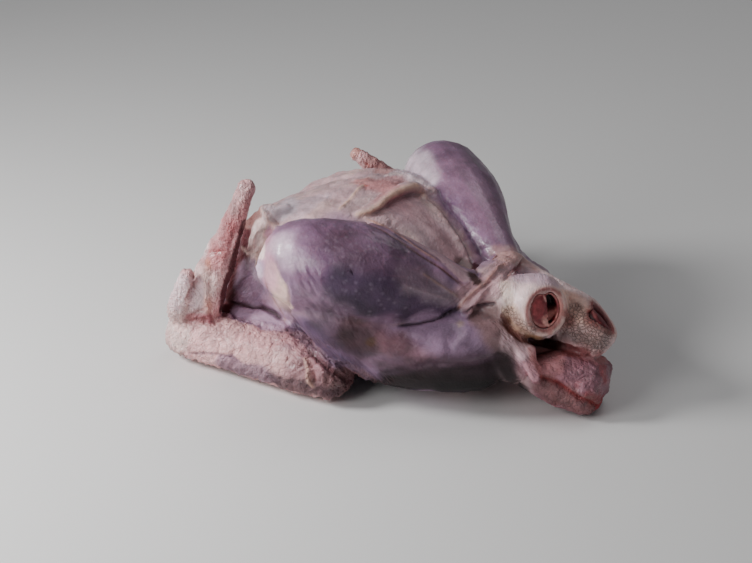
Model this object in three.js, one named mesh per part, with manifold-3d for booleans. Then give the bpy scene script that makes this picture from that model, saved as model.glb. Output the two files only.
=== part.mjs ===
// A whole raw turkey, plucked and drawn, lying on its back.
//
// The breast is up and the neck end points along -X. Both drumsticks are folded back along the breast and
// tucked under a band of belly skin, so the two cut hocks stand out together above the tail, towards +X.
// The near side is -Y and the far side is +Y. The near wing is folded on the table with its hand upright,
// and the far wing leans in over the breast. The bird is one solid. The two cut leg bones that show at the
// hocks are short plugs of their own, each in a pocket with a small gap all round.
//
// Millimetres, +Z up. The origin is on the flat patch of the back that the bird rests on.
//
// Each part of the bird is a limb: a sphere whose rings are spread along a smooth line through a few
// stations. A station is [x, y, z, half width, half depth].

import * as THREE from "three";
import { mergeVertices } from "three/addons/utils/BufferGeometryUtils.js";
import Module from "manifold-3d";

const wasm = await Module();
wasm.setup();

const NEAR = -1;
const FAR = 1;
const UP = new THREE.Vector3(0, 0, 1);

// The trunk and the two lobes of the breast.
const TRUNK_HALF_WIDTH = 84;
const LOBE_RADIUS = 45;

// The legs, from the thigh and the round knee to the thin ankle that the band of skin crosses.
const CALF_RADIUS = 38;
const KNEE_RADIUS = 35;
const ANKLE_RADIUS = 14;
const THIGH_RADIUS = 42;
const HOCK_RADIUS = 25;

// The cut bone in each hock. The marrow has left a hollow in one lobe of it.
const BONE_HALF_WIDTH = 12.5;
const BONE_HALF_HEIGHT = 14.5;
const BONE_LENGTH = 16;
const HOLLOW_DEPTH = 9;
const BONE_RECESS = 1.5; // how far the bone stands back from the cut skin
const FIT_GAP = 0.35;

// The wings.
const WING_RADIUS = 21;

// The skeleton. In each leg, cut is the middle of the flat cut through the hock, and facing is where the cut
// looks. In each wing, hand and thumb are lines that end at their tips.
const nearLeg = {
  side: NEAR,
  hip: [120, -34, 48],
  knee: [-8, -101, 111],
  calf: [40, -77, 106],
  ankle: [108, -32, 90],
  hock: [142, -11, 82],
  cut: [160, -22, 88],
  facing: [0.84, -0.5, 0.22],
  end: [169, -27, 90],
  endGirth: 0.5,
  boneScale: 1,
};
const farLeg = {
  side: FAR,
  hip: [120, 34, 48],
  knee: [-14, 100, 110],
  calf: [27, 66, 103],
  ankle: [97, 27, 85],
  hock: [162, 20, 63],
  cut: [186, 20, 72],
  facing: [0.66, 0.4, 0.64],
  end: [197, 18, 56],
  endGirth: 0.8,
  boneScale: 0.86,
};
const nearWing = {
  side: NEAR,
  shoulder: [-100, -64, 30],
  elbow: [16, -98, 22],
  wrist: [-123, -109, 21],
  hand: [[-107, -105, 54], [-94, -94, 94], [-85, -84, 128], [-81, -75, 152]],
  thumb: [[-124, -118, 36], [-115, -121, 62], [-106, -121, 86]],
};
const farWing = {
  side: FAR,
  shoulder: [-100, 64, 30],
  elbow: [46, 108, 22],
  wrist: [-80, 128, 24],
  hand: [[-76, 124, 52], [-68, 106, 88], [-71, 88, 109], [-91, 77, 126]],
  thumb: [[-90, 138, 34], [-100, 136, 58], [-108, 128, 80]],
};

const vec = ([x, y, z]) => new THREE.Vector3(x, y, z);
const mix = (a, b, s) => a.map((v, i) => v + (b[i] - v) * s);
const smooth = (points) => new THREE.CatmullRomCurve3(points, false, "catmullrom", 0.5);

// A closed limb along its stations. Its ends are rounded over blunt times their own half width, and its
// section is an ellipse, or a rounded box where boxy is above zero.
function limb(stations, { sides = 20, rings = 16, blunt = [1, 1], boxy = 0, up = UP } = {}) {
  const spine = smooth(stations.map(vec));
  const girth = smooth(stations.map(([, , , wide, deep]) => new THREE.Vector3(wide, deep, 0)));
  const length = spine.getLength();
  const cap = [0, 1].map((t, i) => Math.min(0.5, (blunt[i] * girth.getPoint(t).x) / length));
  const ball = new THREE.SphereGeometry(1, sides, rings);
  const at = ball.getAttribute("position");
  const power = 2 + boxy;
  for (let i = 0; i < at.count; i++) {
    const pole = Math.min(1, Math.max(-1, at.getY(i)));
    const t = (1 - pole) / 2;
    const fromEnd = Math.min(t / cap[0], (1 - t) / cap[1], 1);
    const round = Math.sqrt(1 - (1 - fromEnd) ** 2);
    const turn = Math.atan2(at.getZ(i), at.getX(i));
    const c = Math.cos(turn);
    const s = Math.sin(turn);
    const reach = round / (Math.abs(c) ** power + Math.abs(s) ** power) ** (1 / power);
    const lengthwise = spine.getTangent(t);
    const across = new THREE.Vector3().crossVectors(up, lengthwise).normalize();
    const over = new THREE.Vector3().crossVectors(lengthwise, across);
    const size = girth.getPoint(t);
    const point = spine.getPoint(t);
    point.addScaledVector(across, c * reach * size.x);
    point.addScaledVector(over, s * reach * size.y);
    at.setXYZ(i, point.x, point.y, point.z);
  }
  return ball;
}

// A three.js geometry as a solid that can be joined and cut.
function solid(geometry) {
  const bare = geometry.index ? geometry.clone() : geometry;
  for (const name of ["normal", "uv"]) bare.deleteAttribute(name);
  const merged = mergeVertices(bare, 1e-3);
  const mesh = new wasm.Mesh({
    numProp: 3,
    vertProperties: merged.getAttribute("position").array,
    triVerts: new Uint32Array(merged.index.array),
  });
  return new wasm.Manifold(mesh);
}

// A solid back as a three.js geometry.
function geometryOf(made) {
  const { vertProperties, triVerts } = made.getMesh();
  const geometry = new THREE.BufferGeometry();
  geometry.setAttribute("position", new THREE.BufferAttribute(vertProperties, 3));
  geometry.setIndex(new THREE.BufferAttribute(triVerts, 1));
  geometry.computeVertexNormals();
  return geometry;
}

const join = (solids) => solids.reduce((all, next) => all.add(next));

function trunk() {
  const wide = TRUNK_HALF_WIDTH;
  const stations = [
    [-128, 0, 54, 0.42 * wide, 28],
    [-108, 0, 56, 0.72 * wide, 45],
    [-78, 0, 58, 0.9 * wide, 59],
    [-46, 0, 61, 0.98 * wide, 69],
    [-13, 0, 65, wide, 74],
    [14, 0, 62, 0.94 * wide, 69],
    [42, 0, 53, 0.86 * wide, 58],
    [72, 0, 43, 0.76 * wide, 47],
    [104, -1, 43, 0.6 * wide, 35],
    [134, -1, 40, 0.42 * wide, 24],
    [154, -1, 36, 0.35 * wide, 18],
  ];
  return limb(stations, { sides: 30, rings: 24, boxy: 0.3, blunt: [0.8, 0.6] });
}

// The flat back that fills the underside out to the wings.
function back() {
  const stations = [
    [-108, 0, 33, 48, 24],
    [-62, 0, 29, 68, 29],
    [6, 0, 29, 85, 29],
    [46, 0, 31, 70, 25],
    [88, 0, 36, 50, 22],
    [118, 0, 40, 34, 18],
  ];
  return limb(stations, { sides: 22, rings: 12, boxy: 0.4, blunt: [0.7, 0.7] });
}

function breastLobe(side) {
  const r = LOBE_RADIUS;
  const stations = [
    [-120, side * 26, 60, 0.45 * r, 0.5 * r],
    [-98, side * 34, 66, 0.78 * r, 0.82 * r],
    [-64, side * 37, 81, 0.94 * r, 0.96 * r],
    [-24, side * 37, 90, r, r],
    [10, side * 32, 95, 0.9 * r, 0.84 * r],
    [40, side * 24, 82, 0.6 * r, 0.55 * r],
  ];
  return limb(stations, { sides: 18, rings: 14 });
}

function thigh({ side, hip, knee }) {
  const r = THIGH_RADIUS;
  const stations = [
    [...mix(hip, knee, -0.12), 0.6 * r, 0.6 * r],
    [96, side * 44, 46, 0.84 * r, 0.84 * r],
    [58, side * 57, 50, 0.96 * r, 0.96 * r],
    [24, side * 76, 68, 0.92 * r, 0.96 * r],
    [...mix(hip, knee, 0.98), 0.7 * r, 0.7 * r],
    [...mix(hip, knee, 1.08), 0.5 * r, 0.5 * r],
  ];
  return limb(stations, { sides: 20, rings: 16 });
}

function drumstick({ knee, calf, ankle }) {
  const front = mix(knee, calf, -0.68);
  const stations = [
    [...front, 0.85 * KNEE_RADIUS, 0.85 * KNEE_RADIUS],
    [...knee, KNEE_RADIUS, KNEE_RADIUS],
    [...mix(knee, calf, 0.6), CALF_RADIUS, CALF_RADIUS],
    [...mix(calf, ankle, 0.1), 0.94 * CALF_RADIUS, 0.96 * CALF_RADIUS],
    [...mix(calf, ankle, 0.5), 0.64 * CALF_RADIUS, 0.7 * CALF_RADIUS],
    [...mix(calf, ankle, 0.85), 1.15 * ANKLE_RADIUS, 1.25 * ANKLE_RADIUS],
    [...mix(calf, ankle, 1.1), ANKLE_RADIUS, ANKLE_RADIUS],
  ];
  return limb(stations, { sides: 22, rings: 20 });
}

// The knob of the hock, cut off flat. The cut looks along facing.
function hock({ side, calf, ankle, hock: middle, cut, facing, end, endGirth }) {
  const r = side === NEAR ? HOCK_RADIUS : 0.88 * HOCK_RADIUS;
  const stations = [
    [...mix(calf, ankle, 0.9), ANKLE_RADIUS, ANKLE_RADIUS],
    [...mix(ankle, middle, 0.4), 0.72 * r, 0.75 * r],
    [...middle, r, r],
    [...mix(middle, end, 0.4), 0.92 * r, 0.94 * r],
    [...end, endGirth * r, endGirth * r],
  ];
  const away = new THREE.BoxGeometry(120, 120, 60).translate(0, 0, 30);
  const slice = placed(away, { cut, facing }, 0);
  return solid(limb(stations, { sides: 20, rings: 16 })).subtract(solid(slice));
}

// A shape built along +Z, moved so that its z = 0 plane lies under the cut by a depth.
function placed(geometry, { cut, facing }, sunk) {
  const out = vec(facing).normalize();
  const frame = new THREE.Matrix4().lookAt(out, new THREE.Vector3(), UP);
  const at = vec(cut).addScaledVector(out, -sunk);
  return geometry.applyMatrix4(frame).translate(at.x, at.y, at.z);
}

function tail() {
  const stations = [
    [116, -1, 38, 33, 17],
    [146, -1, 32, 31, 18],
    [172, 1, 24, 28, 21],
    [200, 7, 18, 23, 18],
  ];
  return limb(stations, { sides: 20, rings: 12, boxy: 1, blunt: [0.5, 0.4] });
}

// The skin from the thigh round to the tail, with the free edge that borders the vent.
function flank(side) {
  const mass = [
    [78, side * 52, 62, 20, 22],
    [106, side * 45, 58, 23, 27],
    [134, side * 37, 50, 14, 24],
    [156, side * 33, 40, 7, 17],
  ];
  const edge = [
    [112, side * 41, 82, 6, 7],
    [132, side * 38, 70, 5, 6],
    [147, side * 38, 60, 5, 6],
    [157, side * 35, 46, 5, 7],
    [162, side * 28, 31, 5, 8],
  ];
  return join([
    solid(limb(mass, { sides: 16, rings: 10 })),
    solid(limb(edge, { sides: 8, rings: 14, up: new THREE.Vector3(0, 1, 0) })),
  ]);
}

// The taut belly skin between the drumsticks, and the rolled edge where it folds over on the breast.
function bellySkin() {
  const sheet = [
    [2, 0, 128, 46, 9],
    [30, -2, 115, 52, 8],
    [56, 0, 99, 38, 8],
    [82, 1, 86, 22, 7],
    [106, 0, 84, 16, 7],
  ];
  const roll = [
    [-12, -58, 112, 4, 4],
    [-3, -46, 126, 4.5, 4.5],
    [6, -28, 136, 4.5, 5],
    [9, -6, 140, 4.5, 5],
    [13, 12, 140, 4.5, 5],
    [14, 30, 129, 4.5, 4.5],
    [24, 44, 110, 4, 4],
  ];
  return join([
    solid(limb(sheet, { sides: 20, rings: 12, blunt: [0.4, 0.4] })),
    solid(limb(roll, { sides: 10, rings: 22, up: new THREE.Vector3(1, 0, 0) })),
  ]);
}

// The dark mouth of the body under the hocks, and the small hole where the belly skin ends at the band.
function ventHollow() {
  const mouth = [
    [82, -8, 61, 17, 13],
    [108, -6, 60, 26, 16],
    [134, -5, 58, 28, 16],
    [166, -8, 57, 28, 14],
  ];
  const hole = [
    [78, 3, 92, 4, 5],
    [85, 4, 88, 6, 8],
    [92, 4, 82, 5, 6],
  ];
  return join([
    solid(limb(mouth, { sides: 16, rings: 12, blunt: [1, 0.7] })),
    solid(limb(hole, { sides: 10, rings: 8 })),
  ]);
}

// The shoulder that the near wing grows from, which closes the body below the neck.
function shoulderMass() {
  const stations = [
    [-126, -44, 56, 12, 22],
    [-119, -55, 48, 16, 28],
    [-98, -62, 46, 19, 27],
    [-72, -66, 42, 16, 22],
  ];
  return limb(stations, { sides: 14, rings: 10 });
}

// The hollow beside the neck, and the frill of torn skin in front of it.
function neckHollow() {
  const stations = [
    [-131, -8, 101, 5, 5],
    [-128, -32, 92, 8, 7],
    [-124, -50, 78, 8, 7],
    [-119, -62, 66, 5, 5],
  ];
  return limb(stations, { sides: 12, rings: 14, up: new THREE.Vector3(1, 0, 0) });
}

function neckFrill() {
  const stations = [
    [-112, -16, 97, 3, 3],
    [-104, -29, 99, 3, 3.5],
    [-95, -42, 99, 3, 3.5],
    [-83, -54, 100, 2.5, 3],
  ];
  return limb(stations, { sides: 8, rings: 12, up: new THREE.Vector3(1, 0, 0) });
}

// The band of skin that holds both ankles down.
function ankleBand() {
  const stations = [
    [103, -56, 80, 10, 4],
    [106, -47, 93, 12, 4],
    [108, -32, 102, 12, 4],
    [106, -8, 102, 12, 4],
    [102, 12, 100, 12, 4],
    [98, 27, 98, 12, 4],
    [96, 40, 86, 10, 4],
  ];
  return limb(stations, { sides: 14, rings: 20, blunt: [0.3, 0.3] });
}

function wing({ side, shoulder, elbow, wrist, hand, thumb }) {
  const r = WING_RADIUS;
  const upperArm = [
    [...mix(shoulder, elbow, -0.1), 0.9 * r, 0.9 * r],
    [...mix(shoulder, elbow, 0.25), r, 0.95 * r],
    [...mix(shoulder, elbow, 0.7), 0.85 * r, 0.85 * r],
    [...mix(shoulder, elbow, 1.05), 0.85 * r, 0.85 * r],
  ];
  const forearm = [
    [...mix(elbow, wrist, -0.12), 0.9 * r, 0.9 * r],
    [...mix(elbow, wrist, 0.15), 1.05 * r, r],
    [...mix(elbow, wrist, 0.5), r, 0.97 * r],
    [...mix(elbow, wrist, 0.85), 0.95 * r, 0.93 * r],
    [...mix(elbow, wrist, 1.1), 0.85 * r, 0.85 * r],
  ];
  const palm = [
    [...mix(wrist, hand[0], -0.2), 0.95 * r, 0.8 * r],
    [...hand[0], 0.82 * r, 0.64 * r],
    [...hand[1], 0.62 * r, 0.5 * r],
    [...hand[2], 0.42 * r, 0.36 * r],
    [...hand[3], 0.24 * r, 0.24 * r],
  ];
  const finger = [
    [...thumb[0], 0.5 * r, 0.5 * r],
    [...thumb[1], 0.36 * r, 0.34 * r],
    [...thumb[2], 0.24 * r, 0.22 * r],
  ];
  const outward = new THREE.Vector3(0, side, 0);
  return join([
    solid(limb(upperArm, { sides: 14, rings: 10 })),
    solid(limb(forearm, { sides: 18, rings: 14 })),
    solid(limb(palm, { sides: 14, rings: 18, up: outward })),
    solid(limb(finger, { sides: 10, rings: 10, up: outward })),
  ]);
}

// The cut bone looks like two lobes side by side with a notch between them at the top.
function boneOutline({ boneScale: k }, grow) {
  const steps = 28;
  const points = [];
  for (let i = 0; i < steps; i++) {
    const a = (2 * Math.PI * i) / steps + Math.PI / 2;
    const fromTop = Math.abs(Math.atan2(Math.cos(a), Math.sin(a)));
    const notch = 1 - 0.2 * Math.exp(-((fromTop / 0.35) ** 2));
    const x = (k * BONE_HALF_WIDTH * notch + grow) * Math.cos(a);
    const y = (k * BONE_HALF_HEIGHT * notch + grow) * Math.sin(a);
    points.push(new THREE.Vector2(x, y));
  }
  return points;
}

function prism(points, depth) {
  return new THREE.ExtrudeGeometry(new THREE.Shape(points), { depth, bevelEnabled: false, steps: 1 });
}

// The marrow has fallen out of one lobe, so it is an open hollow behind a thin rim.
function bonePlug(leg) {
  const plug = placed(prism(boneOutline(leg, 0), BONE_LENGTH), leg, BONE_RECESS + BONE_LENGTH);
  const lobe = boneOutline(leg, -1.6).filter((p) => p.x > 1);
  const hollow = placed(prism(lobe, HOLLOW_DEPTH + 5), leg, BONE_RECESS + HOLLOW_DEPTH);
  return solid(plug).subtract(solid(hollow));
}

function bonePocket(leg) {
  const depth = BONE_RECESS + BONE_LENGTH + FIT_GAP;
  return solid(placed(prism(boneOutline(leg, FIT_GAP), depth + 6), leg, depth));
}

const legs = [nearLeg, farLeg];
const sides = [NEAR, FAR];
const core = [solid(trunk()), solid(back()), solid(tail()), solid(shoulderMass()), bellySkin()];
for (const side of sides) core.push(solid(breastLobe(side)), flank(side));
const hollows = join([ventHollow(), solid(neckHollow())]);
const limbs = [solid(ankleBand()), solid(neckFrill()), wing(nearWing), wing(farWing)];
for (const leg of legs) limbs.push(solid(thigh(leg)), solid(drumstick(leg)), hock(leg));

const TABLE = new THREE.BoxGeometry(900, 900, 200).translate(0, 0, -100);
let bird = join([join(core).subtract(hollows), ...limbs]).subtract(solid(TABLE));

const skinColour = new THREE.MeshStandardMaterial({ color: 0xb59a9e, roughness: 0.45, metalness: 0 });
const boneColour = new THREE.MeshStandardMaterial({ color: 0x5c2328, roughness: 0.35, metalness: 0 });

const turkey = new THREE.Group();
function show(name, made, material) {
  const mesh = new THREE.Mesh(geometryOf(made), material);
  mesh.name = name;
  turkey.add(mesh);
}
for (const leg of legs) {
  bird = bird.subtract(bonePocket(leg));
  show(leg.side === NEAR ? "leg_bone_near" : "leg_bone_far", bonePlug(leg), boneColour);
}
show("turkey", bird, skinColour);

// The origin goes to the middle of the bird's outline on the table.
const bounds = new THREE.Box3().setFromObject(turkey);
const middle = bounds.getCenter(new THREE.Vector3());
for (const mesh of turkey.children) mesh.geometry.translate(-middle.x, -middle.y, 0);

export default turkey;
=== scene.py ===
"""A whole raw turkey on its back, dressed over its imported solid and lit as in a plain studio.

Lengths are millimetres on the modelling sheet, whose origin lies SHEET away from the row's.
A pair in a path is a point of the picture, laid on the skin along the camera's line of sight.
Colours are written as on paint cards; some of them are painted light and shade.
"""
import math

import bmesh
import bpy
import numpy as np
from mathutils import Matrix, Vector, noise
from mathutils.bvhtree import BVHTree


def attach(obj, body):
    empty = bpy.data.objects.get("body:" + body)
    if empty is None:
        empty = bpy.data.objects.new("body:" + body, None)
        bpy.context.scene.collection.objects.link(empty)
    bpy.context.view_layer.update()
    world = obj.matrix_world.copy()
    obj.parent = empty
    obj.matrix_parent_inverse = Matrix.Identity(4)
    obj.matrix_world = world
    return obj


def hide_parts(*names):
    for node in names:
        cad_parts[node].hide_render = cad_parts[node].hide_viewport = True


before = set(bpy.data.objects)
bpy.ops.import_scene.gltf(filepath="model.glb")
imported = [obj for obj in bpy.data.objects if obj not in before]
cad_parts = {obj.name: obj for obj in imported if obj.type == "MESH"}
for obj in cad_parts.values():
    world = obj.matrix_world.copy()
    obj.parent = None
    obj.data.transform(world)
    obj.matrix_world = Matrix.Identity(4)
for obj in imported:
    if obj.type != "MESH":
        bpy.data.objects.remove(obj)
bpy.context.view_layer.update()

SHEET = np.array([32.577, 5.944, 0.0])
METRE = 1000.0  # millimetres
FINE_MESH, QUICK_MESH, BONE_MESH = 0.00135, 0.0026, 0.0007  # edge of the even little faces, in metres
MOST_TRIANGLES = 190000
LINE_STEP = 3.0  # picture points from one place of a line to the next
MOST_LIFT = 4.0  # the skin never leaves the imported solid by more
LOWEST = 0.05  # and stays this far above the table
RICHNESS = 1.5  # how much stronger a colour is laid on than it is to look
DARKEST, LIGHTEST = 0.002, 0.95

PICTURE = (752, 563)
LENS, SENSOR = 84.97, 36.0
FOCAL = PICTURE[0] * LENS / SENSOR
AZIMUTH, ELEVATION, DISTANCE = math.radians(35.4), math.radians(25.9), 1.434
AIM = Vector((-0.03749, -0.01524, 0.0603))
BACK = Vector((
    math.sin(AZIMUTH) * math.cos(ELEVATION),
    -math.cos(AZIMUTH) * math.cos(ELEVATION),
    math.sin(ELEVATION),
))
RIGHT = Vector((math.cos(AZIMUTH), math.sin(AZIMUTH), 0))
UP = BACK.cross(RIGHT)
EYE = AIM + BACK * DISTANCE

# The legs and wings as lines of stations, each a place with its half width, for the zones of the skin.
LEG_NEAR = [(-32, -117, 114, 30), (-8, -101, 111, 35), (21, -87, 108, 38), (47, -72, 104, 36),
            (74, -54, 98, 26), (98, -39, 92, 17), (115, -28, 88, 14)]
LEG_FAR = [(-42, 123, 115, 30), (-14, 100, 110, 35), (11, 80, 106, 38), (34, 62, 101, 36),
           (62, 47, 94, 26), (86, 33, 88, 17), (104, 23, 83, 14)]
HOCK_NEAR = [(115, -27, 88, 15), (122, -24, 87, 18), (142, -11, 82, 25), (153, -17, 85, 23),
             (166, -25, 90, 20)]
HOCK_FAR = [(104, 25, 83, 14), (123, 24, 76, 17), (162, 20, 63, 22), (176, 19, 60, 20), (190, 18, 60, 19)]
WING_NEAR = {
    "upper": [(-112, -60, 31, 19), (-71, -72, 28, 21), (-19, -88, 24, 18), (22, -100, 22, 18)],
    "fore": [(33, -97, 22, 19), (-5, -100, 22, 22), (-54, -104, 22, 21), (-102, -107, 21, 20),
             (-137, -110, 21, 18)],
    "hand": [(-126, -110, 14, 20), (-107, -105, 54, 17), (-94, -94, 94, 13), (-85, -84, 128, 9),
             (-81, -75, 152, 5)],
    "thumb": [(-124, -118, 36, 11), (-115, -121, 62, 8), (-106, -121, 86, 5)],
}
WING_FAR = {
    "upper": [(-115, 60, 31, 19), (-64, 75, 28, 21), (2, 95, 24, 18), (53, 110, 22, 18)],
    "fore": [(61, 106, 22, 19), (27, 111, 22, 22), (-17, 118, 23, 21), (-61, 125, 24, 20),
             (-93, 130, 24, 18)],
    "hand": [(-81, 129, 18, 20), (-76, 124, 52, 17), (-68, 106, 88, 13), (-71, 88, 109, 9),
             (-91, 77, 126, 5)],
    "thumb": [(-90, 138, 34, 11), (-100, 136, 58, 8), (-108, 128, 80, 5)],
}
BREAST = [(-90, 0, 84, 52), (-40, 0, 92, 62), (10, 0, 96, 58), (50, 0, 84, 45)]
WING_CREVICE = [(-131, -8, 101, 6), (-126, -32, 92, 9), (-119, -52, 76, 10), (-112, -62, 58, 9),
                (-104, -70, 44, 7)]

# Each cut leg: the middle of its cut, the way it faces and how far the bone and its rim reach.
CUTS = {
    "near": (np.array([160, -22, 88]), np.array([0.84, -0.5, 0.22]), 17.0),
    "far": (np.array([186, 20, 72]), np.array([0.66, 0.4, 0.64]), 15.0),
}

# Paint cards of the bird's own parts, and of the painted shade in its hollows and a painted sheen.
SKIN = "c0a8aa"
VIOLET = "806a7b"
DEEP_VIOLET = "57444f"
MAUVE = "b89ea4"
WING_PINK = "d3b1b1"
BLUSH = "b07a7c"
PEACH = "dcc0b4"
CREAM = "dfcbcb"
FAT = "dfc6be"
# Dark maroon flesh with painted shade, for the crevice between the near wing's hand and the body.
MAROON_SHADE = "421a1e"
# Painted shade inside the vent, the hollow under the hocks.
VENT_SHADE = "3f1c1a"
FLANK = "8d798b"
RUST = "8e6a70"
TAIL_RED = "c88c90"
TAIL_PAD = "917078"
TAIL_LOW = "6e5250"
CRIMSON = "7a2c2c"
# A painted sheen.
PEARL_SHEEN = "e0d4da"

# What each place of the skin carries for its material, from 0 to 1.
TRAITS = ("crinkle", "goose", "wet", "scaly", "rising", "falling", "upright")

# The colours of smaller places, some of them painted shade, light, highlights and sheen: a path, its radius
# (or the radius at either end), the width of its soft edge, a card and how strongly it is laid on.
STROKES = [
    ([(268, 272), (279, 290), (289, 318)], (8, 3.5), 2.5, FAT, 0.95),
    ([(262, 240), (263, 262), (268, 278)], 8, 8, "b9929f", 0.8),
    # Painted highlight on the near knee.
    ([(280, 244), (290, 254)], 6, 11, "e6d2de", 0.6),
    ([(330, 225), (370, 245), (400, 262)], 12, 16, "4b3949", 0.6),
    ([(335, 250), (352, 258)], 10, 16, "45343f", 0.6),
    # Painted shade on the low side of the near drumstick, along its crease with the wing and under it.
    ([(335, 292), (390, 300), (450, 306)], 12, 14, "33283a", 0.85),
    ([(300, 330), (325, 345), (355, 370)], 12, 16, "44364a", 0.8),
    ([(345, 330), (375, 350), (420, 364)], 9, 12, "5a444e", 0.6),
    ([(440, 150), (470, 175), (488, 210)], 12, 14, "6e5869", 0.5),
    ([(310, 300), (330, 312)], 10, 14, "8d7686", 0.5),
    ([(300, 262), (310, 270)], 8, 12, "745a72", 0.5),
    ([(410, 278), (450, 294)], 6, 8, "807078", 0.55),
    ([(352, 332), (372, 338)], 8, 9, "4a322c", 0.55),
    ([(385, 336), (392, 346)], 3, 9, RUST, 0.3),
    ([(402, 342), (412, 352), (424, 354)], 4, 10, RUST, 0.45),
    ([(430, 330), (455, 335), (485, 338)], 11, 9, FLANK, 0.9),
    ([(486, 318), (500, 332), (512, 350)], 9, 8, "86706f", 0.85),
    ([(508, 340), (516, 350), (528, 368), (535, 382)], 4, 5, "dcc2c6", 0.8),
    ([(460, 324)], 1.2, 2.4, "b8a694", 0.5),
    ([(371, 342)], 2.0, 3.5, "75583e", 0.5),
    # Painted shade on the underside near the table, and under the step of the flank.
    ([(350, 382), (380, 384), (430, 384), (500, 386)], 9, 8, "140d10", 0.95),
    ([(385, 368), (430, 364), (490, 360), (510, 362)], 4, 8, "4a3a42", 0.75),
    ([(340, 362), (362, 378)], 9, 9, "4d4256", 0.75),
    # Painted sheen on the left side of the far drumstick.
    ([(398, 160), (412, 165), (425, 180)], 9, 10, PEARL_SHEEN, 0.6),
    ([(450, 165), (475, 190), (490, 220)], 9, 12, "9a7f90", 0.5),
    ([(440, 200), (470, 235), (485, 262)], 5, 7, "9c7f9a", 0.5),
    ([(500, 255), (512, 262), (520, 272)], 10, 7, "bd9c98", 0.9),
    ([(470, 298), (490, 285), (505, 268)], 7, 6, "b4979b", 0.85),
    ([(405, 205), (430, 232), (450, 256)], 12, 9, MAUVE, 0.85),
    ([(400, 200), (430, 225), (455, 255)], 4, 8, "c9a6ab", 0.5),
    ([(388, 227), (412, 239), (440, 256), (464, 274)], (1.5, 6.4), 1.2, MAUVE, 0.95),
    # Painted shade where the flap's edge tucks in against the near drumstick.
    ([(462, 264), (470, 268)], 5, 3, "54403e", 0.8),
    ([(472, 275), (477, 281)], 3.4, 2, "33211f", 0.95),
    ([(368, 182), (385, 188), (392, 180)], 7, 8, "ac7474", 0.6),
    ([(365, 186)], 1.6, 1.8, "b05854", 0.7),
    ([(392, 190), (380, 198)], 5, 6, "bf7478", 0.4),
    ([(355, 205), (375, 200)], 6, 7, "ab9b9c", 0.5),
    ([(250, 262), (240, 290), (262, 300)], 12, 10, "8d7888", 0.85),
    # Pale lavender of the upper arm, painted lighter where the hand shades it.
    ([(232, 312), (262, 318), (278, 322)], 9, 5, "b49cae", 0.85),
    ([(266, 214), (257, 232), (254, 252)], 9, 5, "d6bcb4", 0.85),
    ([(247, 220), (253, 214), (262, 208)], 4, 3, "70504a", 0.9),
    ([(300, 205), (310, 200)], 10, 10, "b6a8b0", 0.5),
    # Dark maroon flesh with painted shade in the crevice along the hand's right edge.
    ([(251, 226), (247, 243), (243, 256)], 4.2, 2.5, MAROON_SHADE, 0.95),
    ([(240, 264), (234, 282), (228, 302), (227, 316)], 4.2, 3.5, MAROON_SHADE, 0.95),
    ([(250, 200), (235, 228)], 3, 3, "b58080", 0.5),
    ([(229, 222), (222, 250), (216, 260)], 5, 7, "ae7679", 0.6),
    ([(208, 262), (207, 285), (208, 312)], 1.8, 3.0, "b58474", 0.6),
    # Pale skin of the thumb and the wrist, painted lighter as painted light.
    ([(178, 290), (190, 302), (194, 284), (202, 285)], 8, 12, "f0dad8", 0.7),
    ([(170, 318), (180, 335), (172, 345)], 8, 6, "e8d4d0", 0.6),
    ([(190, 318), (207, 318)], 3, 3, "a86a72", 0.7),
    ([(250, 335), (275, 340)], 7, 8, "dab2b4", 0.6),
    ([(285, 335), (300, 350), (320, 366)], 2.4, 4.0, "cca2a4", 0.55),
    ([(300, 370), (320, 380)], 10, 9, "a8848a", 0.6),
    # Painted shade along the low edges of the near wing and body by the table.
    ([(350, 380), (335, 386)], 9, 7, "6a5050", 0.85),
    ([(225, 365), (270, 378)], 6, 6, "6e6070", 0.7),
    ([(280, 383), (330, 394)], 6, 7, "44343a", 0.8),
    ([(375, 160), (385, 170)], 7, 5, "b08c8a", 0.8),
    ([(354, 151)], 5, 4, "b48a80", 0.7),
    ([(503, 308), (507, 319), (515, 329)], 0.8, 1.8, "9c8870", 0.45),
    ([(520, 331), (535, 336)], 3, 4, "8a7268", 0.6),
    ([(563, 298), (567, 322)], 4, 5, "a87874", 0.7),
    ([(575, 305), (590, 330)], 9, 7, "c8a49c", 0.5),
    ([(520, 274), (535, 276)], 7, 5, "c8b4bc", 0.7),
]

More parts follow.
